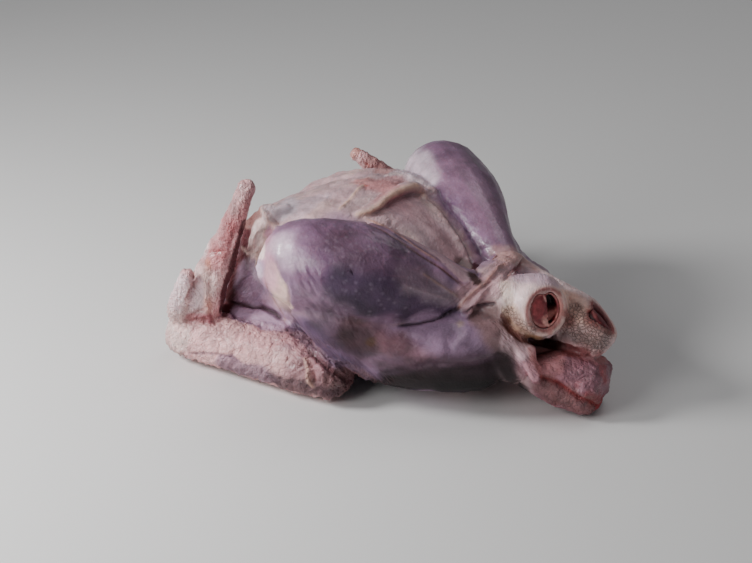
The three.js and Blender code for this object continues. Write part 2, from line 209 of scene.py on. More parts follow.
# Painted light and shade, places made lighter or darker: a path, its radius, its soft edge and the factor.
PAINTED_LIGHT_AND_SHADE = [
    ([(178, 308), (184, 298), (182, 280)], 5, 4, 1.2),
    ([(197, 290), (200, 305)], 3, 4, 1.2),
    ([(172, 322), (180, 338), (195, 348)], 8, 8, 1.25),
    ([(215, 348), (240, 350)], 6, 8, 1.25),
    ([(250, 266), (246, 284), (256, 290)], 7, 6, 1.7),
    ([(505, 286), (511, 300), (509, 311)], 4, 4, 1.25),
    ([(524, 362), (530, 374)], 3, 4, 1.5),
    ([(300, 234), (308, 244)], 8, 8, 1.2),
    ([(440, 274), (452, 284)], 4, 5, 1.6),
    ([(405, 160), (412, 168)], 6, 6, 1.15),
    ([(530, 337), (545, 336), (552, 332)], 3, 4, 0.4),
    ([(566, 336), (584, 341), (602, 342)], 3, 5, 0.5),
    ([(555, 391), (575, 400)], 4, 6, 0.6),
    ([(318, 318), (334, 332)], 9, 10, 0.62),
    ([(345, 308), (358, 314)], 9, 9, 0.65),
    ([(350, 338), (362, 346)], 7, 8, 0.55),
    ([(396, 340), (404, 350)], 6, 7, 0.65),
    ([(500, 340), (504, 352)], 5, 6, 0.6),
    ([(455, 352), (480, 352)], 4, 6, 0.75),
    ([(390, 376), (440, 376), (490, 374)], 6, 5, 0.35),
    ([(468, 236), (476, 246)], 4, 5, 0.85),
    ([(386, 172), (396, 180)], 7, 7, 0.72),
    ([(405, 212), (440, 244)], 8, 8, 0.8),
    ([(296, 372), (306, 380)], 6, 6, 0.75),
    ([(232, 204), (236, 212)], 3, 4, 0.65),
    ([(446, 156), (456, 166)], 8, 9, 0.82),
]

# As STROKES, with painted shade and light among them, but measured in points of the picture and laid on all
# that is seen there.
PATCHES = [
    # Dark maroon flesh with painted shade in the crevice beside the hand.
    ([(246, 223), (241, 243), (235, 261), (230, 280), (226, 298), (225, 312)],
     (4.0, 6.0), 1.2, MAROON_SHADE, 0.95),
    ([(194, 272), (193, 282), (189, 292)], 0.9, 1.2, "6a4040", 0.8),
    # The pale frill, painted lighter where the hand shades it.
    ([(261, 222), (257, 235), (254, 252)], (4, 6), 2.5, "f8dedb", 0.95),
    ([(248, 224), (255, 217), (262, 210)], 4.2, 2, "8a6a66", 0.85),
    ([(265, 212), (272, 216)], 3, 3, "a4847e", 0.6),
    ([(207, 242), (203, 254)], 2.5, 2.5, "fbe6e6", 0.7),
    ([(232, 228), (226, 240), (221, 254)], (3, 4), 4, "9c6466", 0.6),
    # Painted light and a painted glint on the breast's side, in the hand's shadow.
    ([(250, 268), (246, 284), (254, 292)], (7, 9), 6, "a692a4", 0.8),
    ([(250, 262), (257, 276)], 2, 4, "d8c8d4", 0.7),
    # Painted light over the shade in the dent between the fold and the near drumstick.
    ([(271, 215), (280, 214), (291, 206)], 6, 4, "ccc0c6", 0.9),
    # Painted shade in the gap between the hocks and the tail, below the strap and on the underside.
    ([(503, 316), (511, 330), (521, 338), (538, 340), (558, 346), (586, 353)],
     (2.6, 4.4), 1.2, "5c3a36", 0.95),
    ([(500, 358), (507, 370), (515, 383), (524, 394)], 5, 3, "1e1517", 0.95),
    ([(396, 382), (450, 378), (485, 374), (505, 368)], (5, 10), 6, "20181a", 0.85),
    ([(593, 307), (601, 319), (608, 331)], (4.5, 3.5), 1.5, "5c2a2e", 0.85),
    ([(586, 303), (594, 316), (603, 330)], 0.8, 1.2, "d8bcb6", 0.5),
    # Painted shade along the bottom by the table.
    ([(440, 388), (500, 388), (520, 392)], 5, 3, "141011", 0.9),
    ([(480, 263), (492, 258)], 4, 4, "93808e", 0.7),
    ([(496, 252), (510, 252), (520, 262)], 5, 4, "ab8f8e", 0.7),
    # Painted light on the far hock where the near one shades it, and on the near hock's lit left side.
    ([(563, 300), (576, 306), (584, 316)], 8, 5, "f8cdc2", 0.85),
    ([(505, 286), (509, 300), (510, 311)], 4, 4, "fae0d8", 0.8),
    ([(511, 312), (521, 324), (536, 333)], 5, 5, "bc9e86", 0.5),
    ([(520, 277), (535, 277), (552, 286)], 4, 5, "b8a2ae", 0.6),
    # Pale strap skin with painted glints.
    ([(521, 356), (530, 374)], 3.5, 4, "e4c8ce", 0.85),
    # Painted light on the thumb.
    ([(182, 280), (176, 304)], 5, 4, "fadee2", 0.75),
    ([(198, 284), (195, 304)], 5, 4, "fadee2", 0.75),
]

# As STROKES, for the tail, the two cuts, the near marrow and the low side of its hollow.
TAIL_STROKES = [
    ([(538, 354), (560, 356), (585, 356)], 8, 7, TAIL_RED, 0.35),
    # Painted light on the tail's top where the hocks shade it.
    ([(536, 357), (542, 368), (554, 361)], 5, 6, "ecb4b6", 0.8),
    ([(550, 352), (566, 354), (580, 359)], 2, 4, "b87a78", 0.5),
    ([(590, 396), (600, 402), (596, 408)], 3, 4, "8a3a3a", 0.7),
    ([(545, 364), (560, 369)], 3, 8, "9c7276", 0.4),
    ([(578, 366), (592, 376)], 8, 7, TAIL_PAD, 0.7),
    ([(545, 388), (565, 398), (590, 410)], 8, 5, TAIL_LOW, 0.7),
    ([(600, 352), (605, 380)], 1.8, 3.5, "9e5f60", 0.6),
    ([(530, 350), (537, 366), (542, 377)], 0.9, 1.8, "9c5a56", 0.4),
]
CUT_STROKES = [
    ([(551, 330), (558, 320), (562, 303)], 3.0, 2.0, "c08e8a", 0.75),
    ([(553, 333), (561, 324), (565, 308), (562, 293)], 0.7, 1.0, "ecd8d2", 0.75),
    ([(566, 312), (570, 322)], 2.0, 3.0, "94605c", 0.75),
    # Painted glints on the strap.
    ([(527, 365), (533, 377)], 2.2, 3.0, "dcb2ba", 0.75),
]
MARROW_STROKES = [
    # Painted sheen on the full lobe.
    ([(534, 299), (539, 308), (544, 314)], 4.0, 3.0, "8a5052", 0.7),
    ([(541, 291), (546, 301), (551, 310)], 0.5, 0.9, "c49c98", 0.9),
    ([(546, 319), (553, 322), (557, 318)], 3.2, 1.6, "b98783", 0.9),
    ([(548, 319)], 0.9, 0.8, "3c1818", 0.9),
    ([(553, 325)], 1.4, 1.0, "70302f", 0.9),
]
HOLLOW_STROKES = [
    ([(545, 321), (550, 325)], 1.6, 1.4, "d0a8a2", 0.8),
    ([(554, 319), (555, 324)], 0.9, 1.2, "6a2c2e", 0.8),
]

# Edges of one skin on another: a path, the height, the reach, the raised side, a card of painted shade at
# the edge's foot and its strength.
LAPS = [
    ([(287, 275), (290, 290), (291, 305), (293, 320)], 0.9, 5, -1, "73606a", 0.5),
    ([(262, 275), (274, 298), (285, 316), (287, 326)], 1.0, 5, -1, "8c6a58", 0.6),
    ([(424, 197), (440, 212), (452, 228), (463, 246), (470, 262), (478, 277)], 1.6, 6, 1, "4a3540", 0.8),
]

# Folds and seams: a path, the half width, the height (or depth), a card, its strength and the run-out.
# The near-black cards of sunk lines are painted shade in the creases.
FOLDS = [
    ([(337, 213), (350, 200), (360, 189), (366, 184)], 1.5, 1.5, PEACH, 0.9),
    ([(353, 217), (369, 212), (381, 204), (391, 195), (403, 189), (418, 185)], 2.6, 1.7, PEACH, 0.95, 0.06),
    ([(350, 211), (365, 207), (377, 199), (387, 190), (399, 184), (412, 180)], 1.4, -0.8, "a5807a", 0.35),
    ([(372, 218), (385, 208), (395, 199), (410, 194)], 1.4, -0.7, "93706a", 0.2),
    ([(262, 207), (266, 216), (272, 224), (278, 229)], 2.0, 2.6, PEACH, 0.5),
    ([(268, 210), (273, 218), (280, 225)], 1.0, -1.2, "7d5d52", 0.45),
    ([(305, 356), (308, 368), (309, 380), (314, 389)], 2.0, 2.6, "e4c2b6", 0.6),
    ([(311, 360), (313, 372), (315, 384)], 1.8, -1.4, "9c6a66", 0.25),
    ([(188, 353), (210, 353), (232, 357), (243, 366)], 1.6, -1.8, "8b7480", 0.5),
    ([(190, 350), (210, 350), (234, 354)], 2.4, 1.6),
    ([(415, 184), (423, 192), (425, 200)], 3.0, 1.6, PEACH, 0.6),
    ([(357, 218), (380, 229), (400, 240), (420, 254), (440, 267), (460, 283), (470, 290)],
     1.2, -1.8, "5f4038", 0.85),
    ([(360, 216), (383, 226), (403, 237), (424, 252), (444, 265)], 1.2, 0.9, "b08672", 0.6),
    # Painted shade in the crevices under the near drumstick.
    ([(395, 326), (420, 323), (440, 317), (455, 310), (464, 305)], 1.1, -2.6, "241820", 0.95),
    ([(462, 313), (478, 306), (498, 303)], 1.5, -2.8, "3a2830", 0.9),
    ([(455, 312), (468, 297), (484, 284), (498, 268), (510, 262)], 1.6, 1.4, "b48f86", 0.6),
    ([(462, 305), (478, 292), (492, 280)], 1.4, -1.0, "79585a", 0.4),
    ([(500, 285), (508, 276), (520, 268)], 1.4, -1.4, "7a5e5a", 0.5),
    ([(503, 317), (511, 331), (522, 340), (540, 343), (560, 347), (586, 353)], 4.0, -2.4, None, 0.6, 0.05),
    ([(488, 259), (500, 252), (512, 253)], 7.0, -3.6),
    ([(271, 216), (280, 213), (291, 206)], 5.0, 3.2),
    ([(420, 272), (440, 285), (460, 298)], 1.0, 0.7, "998277", 0.5),
    ([(400, 283), (425, 292), (450, 300)], 0.9, 0.5, "857279", 0.4),
    ([(536, 374), (548, 380), (557, 382), (570, 392), (578, 398), (592, 403), (603, 409)],
     1.7, -2.4, CRIMSON, 0.7),
    ([(452, 350), (460, 340), (470, 332)], 2.4, 0.8, "9c8c9c", 0.3),
    ([(447, 335), (448, 345), (452, 352)], 1.8, -0.5),
    # Painted shade under the step of the flank.
    ([(408, 368), (430, 363), (470, 363), (505, 355)], 2.2, -1.6, "463740", 0.6),
    ([(408, 360), (430, 356), (470, 356), (500, 349)], 5.0, 1.4),
    ([(183, 322), (194, 320), (208, 319)], 2.4, -2.6, "86605e", 0.7),
    ([(186, 319), (196, 312), (206, 309)], 1.6, -1.8, "9c7674", 0.6),
    ([(207, 309), (212, 318), (217, 326)], 1.4, -1.6, "8a6664", 0.5),
    ([(184, 326), (198, 326), (212, 329)], 2.6, 1.8),
    ([(195, 271), (192, 284), (188, 299)], 1.8, -2.6, "8a5a5a", 0.6),
    ([(203, 250), (214, 252), (228, 250)], 1.2, -1.2, "8b4a4c", 0.6),
    ([(204, 262), (206, 285), (208, 318)], 2.2, 1.3),
    ([(199, 275), (203, 295), (204, 312)], 1.4, -0.9),
    ([(240, 246), (247, 252), (259, 253)], 1.2, 0.9, "e0c8bc", 0.5),
    ([(286, 357), (283, 366)], 1.8, 1.2),
    # Painted shade in the crease between the wing and the near drumstick, and in the gap above the upper
    # arm.
    ([(302, 346), (318, 360), (338, 375), (352, 383)], 2.2, -2.6, "3a1c20", 0.9),
    ([(228, 303), (245, 305), (262, 307), (274, 313), (284, 321)], 2.0, -2.6, "2c161c", 0.95),
    ([(251, 224), (247, 243), (242, 260)], 2.8, -2.0),
    ([(226, 303), (226, 318)], 5.0, 4.0, None, 0.6, 0.05),
    ([(171, 280), (168, 300)], 5.0, -3.5),
    ([(248, 185), (251, 182)], 5.0, 3.5, None, 0.6, 0.01),
    ([(259, 236), (258, 256), (261, 280)], 13.0, -3.4),
    ([(372, 169), (366, 163), (362, 158)], 1.0, -1.0, "7a3330", 0.8),
    ([(340, 187), (360, 183), (375, 182)], 1.0, 0.5, "9b8a86", 0.4),
    ([(385, 176), (395, 174), (404, 176)], 0.9, 0.6, "e0cfc6", 0.5),
]


def tone(card):
    """The colour of a paint card as linear light."""
    parts = np.array([int(card[i:i + 2], 16) / 255 for i in (0, 2, 4)])
    light = np.where(parts <= 0.04045, parts / 12.92, ((parts + 0.055) / 1.055) ** 2.4)
    grey = light @ [0.21, 0.72, 0.07]
    return np.clip(grey + (light - grey) * RICHNESS, DARKEST, LIGHTEST)


def smoothstep(low, high, x):
    """From 0 at low to 1 at high, smoothly."""
    t = np.clip((x - low) / (high - low), 0, 1)
    return t * t * (3 - 2 * t)


def swell(points, size, seed):
    """Slow unevenness from -1 to 1, in patches of about size millimetres."""
    rng = np.random.default_rng(seed)
    total = np.zeros(len(points))
    for _ in range(7):
        way = rng.normal(size=3)
        way /= np.linalg.norm(way)
        waves = points @ way * (math.pi * rng.uniform(0.7, 1.5) / size)
        total += np.sin(waves + rng.uniform(0, 2 * math.pi))
    return total / 4.2


def creases(points, along, long, short, where, seed):
    """Uneven ridges that run along a direction, from -1 to 1, worked out only where asked."""
    along = np.array(along, float)
    along /= np.linalg.norm(along)
    across = np.cross(np.array(BACK), along)
    across /= np.linalg.norm(across)
    out = np.cross(along, across)
    value = np.zeros(len(points))
    for i in np.flatnonzero(where > 0.02):
        p = points[i]
        q = Vector((p @ along / long + seed, p @ across / short, p @ out / long))
        n = noise.noise(q) + 0.5 * noise.noise(q * 2.1)
        value[i] = 1 - 2.6 * abs(n)
    return value


def nearest(points, line):
    """For each point: its distance to a line, its share along it, the nearest place and the line's way."""
    best = np.full(len(points), 1e9)
    share = np.zeros(len(points))
    foot = np.zeros_like(points)
    way = np.zeros_like(points)
    gone = 0.0
    for a, b in zip(line[:-1], line[1:]):
        step = b - a
        length = np.linalg.norm(step)
        if length < 1e-6:
            continue
        t = np.clip((points - a) @ step / length ** 2, 0, 1)
        place = a + t[:, None] * step
        gap = np.linalg.norm(points - place, axis=1)
        m = gap < best
        best[m], share[m], foot[m], way[m] = gap[m], gone + t[m] * length, place[m], step / length
        gone += length
    return best, share / max(gone, 1e-6), foot, way


def limb_zone(points, stations, near=1.05, far=1.25):
    """One on the skin of a limb, fading to none away from it."""
    best = np.full(len(points), 9.0)
    for (*a, ra), (*b, rb) in zip(stations[:-1], stations[1:]):
        a, b = np.array(a, float), np.array(b, float)
        step = b - a
        t = np.clip((points - a) @ step / (step @ step), 0, 1)
        gap = np.linalg.norm(points - a - t[:, None] * step, axis=1)
        best = np.minimum(best, gap / (ra + (rb - ra) * t))
    return 1 - smoothstep(near, far, best)


class Skin:
    """A surface: its points on the sheet, their facing, paint, traits and how far each is lifted."""

    def __init__(self, obj):
        mesh = obj.data
        n = len(mesh.vertices)
        co = np.empty(n * 3, np.float32)
        mesh.vertices.foreach_get("co", co)
        self.points = co.reshape(-1, 3).astype(float) * METRE + SHEET
        nor = np.empty(n * 3, np.float32)
        mesh.vertices.foreach_get("normal", nor)
        self.facing = nor.reshape(-1, 3).astype(float)
        self.lift = np.zeros(n)
        self.paint = np.tile(tone(SKIN), (n, 1))
        self.traits = {name: np.zeros(n) for name in TRAITS}
        self.tree = BVHTree.FromObject(obj, bpy.context.evaluated_depsgraph_get())

    def seen(self, u, v):
        """The place on the skin under a point of the picture."""
        way = -BACK + RIGHT * ((u - PICTURE[0] / 2) / FOCAL) - UP * ((v - PICTURE[1] / 2) / FOCAL)
        way.normalize()
        hit = self.tree.ray_cast(EYE, way)[0]
        if hit is None:
            hit = self.tree.find_nearest(EYE + way * DISTANCE)[0]
        return np.array(hit) * METRE + SHEET

    def line(self, path):
        """A line on the skin through points of the picture."""
        places = []
        for a, b in zip(path[:-1], path[1:]):
            a, b = np.array(a, float), np.array(b, float)
            count = max(1, int(np.linalg.norm(b - a) / LINE_STEP))
            for k in range(count):
                places.append(a + (b - a) * k / count)
        places.append(np.array(path[-1], float))
        return np.array([self.seen(*place) for place in places])

    def close_to(self, spots, reach):
        """Which points lie within a box round a line."""
        low, high = spots.min(0) - reach, spots.max(0) + reach
        return np.flatnonzero(((self.points > low) & (self.points < high)).all(1))

    def stroke(self, path, radius, edge):
        """One within radius of a line on the skin, fading over edge. A radius may change along the line."""
        if len(path) > 1:
            spots = self.line(path)
        else:
            spots = np.array([self.seen(*path[0])] * 2) + [[0, 0, 0], [0.1, 0, 0]]
        start, end = radius if isinstance(radius, tuple) else (radius, radius)
        close = self.close_to(spots, max(start, end) + edge)
        mask = np.zeros(len(self.points))
        gap, share, _, _ = nearest(self.points[close], spots)
        size = start + (end - start) * share + 0.4 * edge * swell(self.points[close], 4 + edge, 61)
        mask[close] = 1 - smoothstep(0, 1, (gap - size) / edge)
        return mask

    def patch(self, path, radius, edge):
        """One on all that is seen within radius picture points of a line drawn on the picture."""
        rel = (self.points - SHEET) / METRE - np.array(EYE)
        depth = -(rel @ np.array(BACK))
        flat = np.zeros_like(rel)
        flat[:, 0] = PICTURE[0] / 2 + FOCAL * (rel @ np.array(RIGHT)) / depth
        flat[:, 1] = PICTURE[1] / 2 - FOCAL * (rel @ np.array(UP)) / depth
        start, end = radius if isinstance(radius, tuple) else (radius, radius)
        gap, share, _, _ = nearest(flat, [np.array([u, v, 0.0]) for u, v in path])
        mask = 1 - smoothstep(0, 1, (gap - start - (end - start) * share) / edge)
        mask[self.facing @ np.array(BACK) < -0.1] = 0
        for i in np.flatnonzero(mask > 0.02):
            way = Vector(rel[i])
            hit = self.tree.ray_cast(EYE, way.normalized())[3]
            if hit is not None and hit < way.length - 0.004:
                mask[i] = 0
        return mask

    def tint(self, mask, card, strength=1.0):
        """Lays the colour of a paint card over what is there."""
        m = np.clip(mask * strength, 0, 1)[:, None]
        self.paint = self.paint * (1 - m) + tone(card) * m

    def shade(self, mask, times):
        """Makes the paint lighter or darker by a factor, as painted light and shade."""
        self.paint = np.clip(self.paint * (1 + (times - 1) * mask[:, None]), DARKEST, LIGHTEST)

    def ridge(self, path, wide, high, card=None, strength=0.6, taper=0.12):
        """A raised line, or a sunk one where high is negative, that runs out at its ends."""
        spots = self.line(path)
        close = self.close_to(spots, wide * 3)
        gap, share, _, _ = nearest(self.points[close], spots)
        ends = smoothstep(0, taper, share) * smoothstep(0, taper, 1 - share)
        shape = np.exp(-((gap / wide) ** 2)) * ends
        self.lift[close] += high * shape
        if card is not None:
            mask = np.zeros(len(self.points))
            mask[close] = shape
            self.tint(mask, card, strength)

    def overlap(self, path, high, reach, side, card, strength):
        """The edge of one skin on another: raised on one side of a line, falling away sharply across it,
        with painted shade at its foot.
        """
        spots = self.line(path)
        close = self.close_to(spots, reach * 3)
        p, n = self.points[close], self.facing[close]
        gap, share, foot, way = nearest(p, spots)
        sideways = np.einsum("ij,ij->i", p - foot, np.cross(way, n)) * side
        ends = smoothstep(0, 0.1, share) * smoothstep(0, 0.1, 1 - share)
        shape = np.where(sideways > 0, np.exp(-((gap / reach) ** 2)), 0)
        shape *= smoothstep(-0.6, 0.9, sideways) * ends
        under = np.exp(-(((sideways + 0.9) / 1.1) ** 2)) * (gap < 4) * ends
        self.lift[close] += high * shape - 0.5 * high * under
        # The card is laid in the dip at the edge's foot as painted shade.
        mask = np.zeros(len(self.points))
        mask[close] = under
        self.tint(mask, card, strength)


def fresh_object(name, data):
    obj = bpy.data.objects.new(name, data)
    bpy.context.scene.collection.objects.link(obj)
    return obj


def made_of(form, name):
    """The object that a finished bmesh becomes."""
    mesh = bpy.data.meshes.new(name)
    form.to_mesh(mesh)
    form.free()
    return fresh_object(name, mesh)


def whole_copy(node, name):
    """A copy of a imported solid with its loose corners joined."""
    form = bmesh.new()
    form.from_mesh(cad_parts[node].data)
    bmesh.ops.remove_doubles(form, verts=form.verts, dist=2e-5)
    bmesh.ops.recalc_face_normals(form, faces=form.faces)
    return made_of(form, name)


def remade(obj, kind, **settings):
    """Works one modifier into the surface."""
    change = obj.modifiers.new("change", kind)
    for name, value in settings.items():
        setattr(change, name, value)
    bpy.context.view_layer.update()
    made = bpy.data.meshes.new_from_object(obj.evaluated_get(bpy.context.evaluated_depsgraph_get()))
    obj.modifiers.clear()
    obj.data = made


def relaxed(obj, rounds):
    """Takes the facets out of a surface without shrinking it, and leaves the cut ends crisp."""
    mesh = obj.data
    n = len(mesh.vertices)
    co = np.empty(n * 3, np.float32)
    mesh.vertices.foreach_get("co", co)
    p = co.reshape(-1, 3).astype(float)
    ends = np.empty(len(mesh.edges) * 2, np.int32)
    mesh.edges.foreach_get("vertices", ends)
    a, b = ends.reshape(-1, 2).T
    count = np.bincount(a, minlength=n) + np.bincount(b, minlength=n)
    free = 1 - cut_faces(p * METRE + SHEET)[:, None]
    draw_in, push_out = 0.55, -0.56
    for i in range(rounds * 2):
        mean = np.stack([np.bincount(a, p[b, k], n) + np.bincount(b, p[a, k], n) for k in range(3)], 1)
        mean /= count[:, None]
        p += (mean - p) * (draw_in if i % 2 == 0 else push_out) * free
    mesh.vertices.foreach_set("co", p.astype(np.float32).ravel())
    mesh.update()


def cut_faces(points):
    """Most of one close to the cut ends of the hocks."""
    gaps = [np.linalg.norm(points - centre, axis=1) for centre, _, _ in CUTS.values()]
    return 0.8 * (1 - smoothstep(20, 30, np.minimum(*gaps)))


def paint_zones(s):
    """The large areas of colour: breast, flank, legs, wings and hocks."""
    p = s.points
    s.tint(smoothstep(-0.4, 1.0, swell(p, 26, 3)), "a9939a", 0.35)
    s.tint(smoothstep(0.1, 1.2, swell(p, 15, 4)), "d2bdb4", 0.35)
    for wing in (WING_NEAR, WING_FAR):
        for part in ("fore", "hand", "thumb"):
            zone = limb_zone(p, wing[part])
            s.tint(zone, WING_PINK)
            s.traits["crinkle"] = np.maximum(s.traits["crinkle"], zone)
        s.tint(limb_zone(p, wing["upper"]) * (1 - limb_zone(p, wing["fore"])), "8f7d90", 0.9)
        hand = limb_zone(p, wing["hand"])
        s.tint(hand * smoothstep(0.2, 1.0, swell(p, 13, 8)), BLUSH, 0.45)
    legs = np.maximum(limb_zone(p, LEG_NEAR, 1.02, 1.14), limb_zone(p, LEG_FAR, 1.02, 1.14))
    thigh = 1 - smoothstep(0, 12, 40 - np.abs(p[:, 1]))
    body_side = smoothstep(38, 60, np.abs(p[:, 1])) * smoothstep(-40, 0, p[:, 0])
    s.tint(body_side * (1 - legs) * (1 - s.traits["crinkle"]) * thigh, FLANK)
    s.tint(legs, VIOLET)
    s.tint(legs * smoothstep(0.0, 1.1, swell(p, 12, 11)), "a08ca2", 0.35)
    s.tint(legs * smoothstep(0.1, 1.1, swell(p, 21, 12)), DEEP_VIOLET, 0.45)
    s.traits["goose"] = legs.copy()
    for hock in (HOCK_NEAR, HOCK_FAR):
        zone = limb_zone(p, hock, 1.03, 1.2) * smoothstep(112, 124, p[:, 0])
        s.tint(zone, CREAM)
        s.traits["crinkle"] *= 1 - zone
    return legs


def lay(s, rows, where=1.0):
    for path, radius, edge, card, strength in rows:
        s.tint(s.stroke(path, radius, edge) * where, card, strength)


def paint_details(s):
    """The colours of smaller places, with painted light and shade among them."""
    lay(s, STROKES)
    for path, radius, edge, times in PAINTED_LIGHT_AND_SHADE:
        s.shade(s.stroke(path, radius, edge), times)
    for path, radius, edge, card, strength in PATCHES:
        s.tint(s.patch(path, radius, edge), card, strength)


def paint_tail(s):
    """The redder, patchy skin of the tail."""
    p = s.points
    tail = smoothstep(158, 166, p[:, 0] - 0.35 * p[:, 1] - 4) * smoothstep(56, 50, p[:, 2])
    tail *= 1 - np.maximum(limb_zone(p, HOCK_FAR, 1.15, 1.35), limb_zone(p, HOCK_NEAR, 1.15, 1.35))
    s.tint(tail, TAIL_PAD)
    s.tint(tail * smoothstep(0.1, 0.9, swell(p, 6, 51)), "a88488", 0.5)
    s.tint(tail * smoothstep(0.2, 0.9, swell(p, 5, 52)), "7c4a4c", 0.5)
    s.tint(tail * smoothstep(0.3, 0.9, swell(p, 2.4, 53)), "6c484c", 0.4)
    s.traits["crinkle"] = np.maximum(s.traits["crinkle"], 0.7 * tail)
    lay(s, TAIL_STROKES, p[:, 0] > 120)


def shape_folds(s):
    """The folds, edges and seams that stand up from the skin or sink into it."""
    for lap in LAPS:
        s.overlap(*lap)
    for fold in FOLDS:
        s.ridge(*fold)


def lie(degrees):
    """A direction in the picture, turned up from its right-hand side."""
    turn = math.radians(degrees)
    return np.array(RIGHT * math.cos(turn) + UP * math.sin(turn))


def shape_wrinkles(s, legs):
    """The fine relief: crumpled wings, fans of creases and the unevenness of soft flesh."""
    p = s.points
    free = 1 - cut_faces(p)
    s.lift += (0.45 * swell(p, 17, 21) + 0.22 * swell(p, 7, 22)) * free
    arm = limb_zone(p, WING_NEAR["fore"])
    far_arm = limb_zone(p, WING_FAR["fore"])
    hands = [limb_zone(p, wing[part]) for wing in (WING_NEAR, WING_FAR) for part in ("hand", "thumb")]
    hands = np.maximum.reduce(hands)
    wrist = s.stroke([(180, 318), (188, 335), (200, 345)], 20, 14)
    crease = s.stroke([(298, 332), (322, 350), (345, 364), (372, 380)], 10, 14)
    knee = s.stroke([(305, 290), (318, 310), (335, 330)], 12, 16)
    top = s.stroke([(325, 222), (355, 232), (385, 245)], 12, 12)
    frill = s.stroke([(262, 214), (255, 232), (254, 250)], 12, 8)
    flap = s.stroke([(410, 205), (430, 232), (450, 258)], 16, 8)
    band = s.stroke([(468, 302), (488, 286), (510, 260)], 9, 7)
    flank = s.stroke([(425, 340), (460, 345), (500, 342)], 18, 10)
    rump = s.stroke([(350, 345), (390, 365), (420, 360)], 14, 12)
    strap = s.stroke([(505, 325), (520, 350), (533, 378)], 7, 5)
    breast = limb_zone(p, BREAST, 1.2, 1.5) * (1 - legs) * (1 - flap) * smoothstep(66, 86, p[:, 2])
    hocks = np.maximum(limb_zone(p, HOCK_NEAR, 1.03, 1.2), limb_zone(p, HOCK_FAR, 1.03, 1.2))
    hocks *= smoothstep(116, 128, p[:, 0])
    side = s.stroke([(248, 262), (240, 285), (258, 300)], 10, 10)
    tail = smoothstep(160, 170, p[:, 0]) * smoothstep(58, 52, p[:, 2])
    far_side = smoothstep(30, 60, p[:, 1]) * (1 - legs) * (1 - hands)
    for zone, amount, along, long, short, seed in (
        (arm, 0.9, lie(38), 20, 5.6, 0.0),
        (arm, 0.65, lie(80), 14, 5.0, 1.5),
        (far_arm, 0.8, (0.5, 0.2, 0.7), 22, 6.5, 2.0),
        (wrist, 0.7, lie(25), 22, 5.5, 3.0),
        (hands, 0.6, lie(78), 24, 5.0, 5.0),
        (hands, 0.35, lie(8), 12, 4.0, 6.0),
        (crease, 1.0, lie(-48), 40, 4.6, 7.0),
        (knee, 0.55, lie(-60), 18, 5.0, 8.0),
        (top, 0.4, lie(-28), 18, 5.0, 9.0),
        (frill, 1.1, lie(-105), 22, 4.4, 11.0),
        (flap, 0.15, lie(-48), 40, 7.0, 13.0),
        (band, 0.9, lie(40), 24, 4.6, 15.0),
        (breast, 0.55, lie(28), 26, 7.5, 17.0),
        (breast, 0.35, lie(80), 20, 6.0, 18.0),
        (flank, 0.35, lie(52), 30, 12.0, 19.0),
        (rump, 0.7, lie(-12), 24, 7.0, 20.0),
        (strap, 0.7, lie(-62), 30, 5.0, 21.0),
        (side, 0.8, lie(52), 26, 5.5, 22.0),
        (hocks * free, 0.4, lie(98), 9, 3.8, 23.0),
        (far_side, 0.6, (0.3, 0.1, 0.9), 24, 7.0, 24.0),
        (tail * free, 0.7, lie(-35), 16, 5.0, 25.0),
        (tail * free, 0.4, lie(50), 12, 4.0, 26.0),
    ):
        s.lift += amount * zone * creases(p, along, long, short, zone, seed)
    glints = s.stroke([(448, 206), (466, 228), (484, 252), (494, 264)], 4, 4)
    s.lift += glints * 0.4 * swell(p, 2.6, 27)
    s.lift += tail * free * (1.1 * swell(p, 9, 23) + 0.5 * swell(p, 4.5, 24))
    for way, zones in (
        ("rising", [0.7 * arm, far_arm, 0.7 * wrist, side, 0.2 * flank, 0.35 * breast, 0.5 * band]),
        ("falling", [crease, 0.15 * knee, 0.2 * top, 0.2 * rump, 0.5 * strap]),
        ("upright", [0.8 * hands, 0.7 * frill, 0.35 * hocks, 0.5 * far_side, 0.2 * tail]),
    ):
        s.traits[way] = np.maximum.reduce(zones)


def pebble(s):
    """The worn scales on the low side of the far hock, and fewer on the near one."""
    p = s.points
    for path, radius, amount in (
        ([(572, 320), (585, 331), (600, 339)], 10, 0.5),
        ([(511, 312), (518, 322), (531, 331)], 2, 0.2),
    ):
        zone = s.stroke(path, radius, 6)
        for i in np.flatnonzero(zone > 0.05):
            gaps = noise.voronoi(Vector(p[i] / 3.4))[0]
            edge = min(1.0, (gaps[1] - gaps[0]) * 2.6)
            s.lift[i] += amount * zone[i] * (edge - 0.6)
        s.tint(zone, "b49c98", 0.35)
        s.traits["scaly"] = np.maximum(s.traits["scaly"], zone)


def about_the_cut(points, which):
    """How far each point is before a leg's cut and from the bone's middle, and its place on the cut."""
    centre, facing, _ = CUTS[which]
    out = facing / np.linalg.norm(facing)
    rel = points - centre
    depth = rel @ out
    flat = rel - depth[:, None] * out
    across = np.cross([0, 0, 1], out)
    upward = np.cross(out, across)
    return depth, np.linalg.norm(flat, axis=1), flat @ (across / np.linalg.norm(across)), flat @ upward


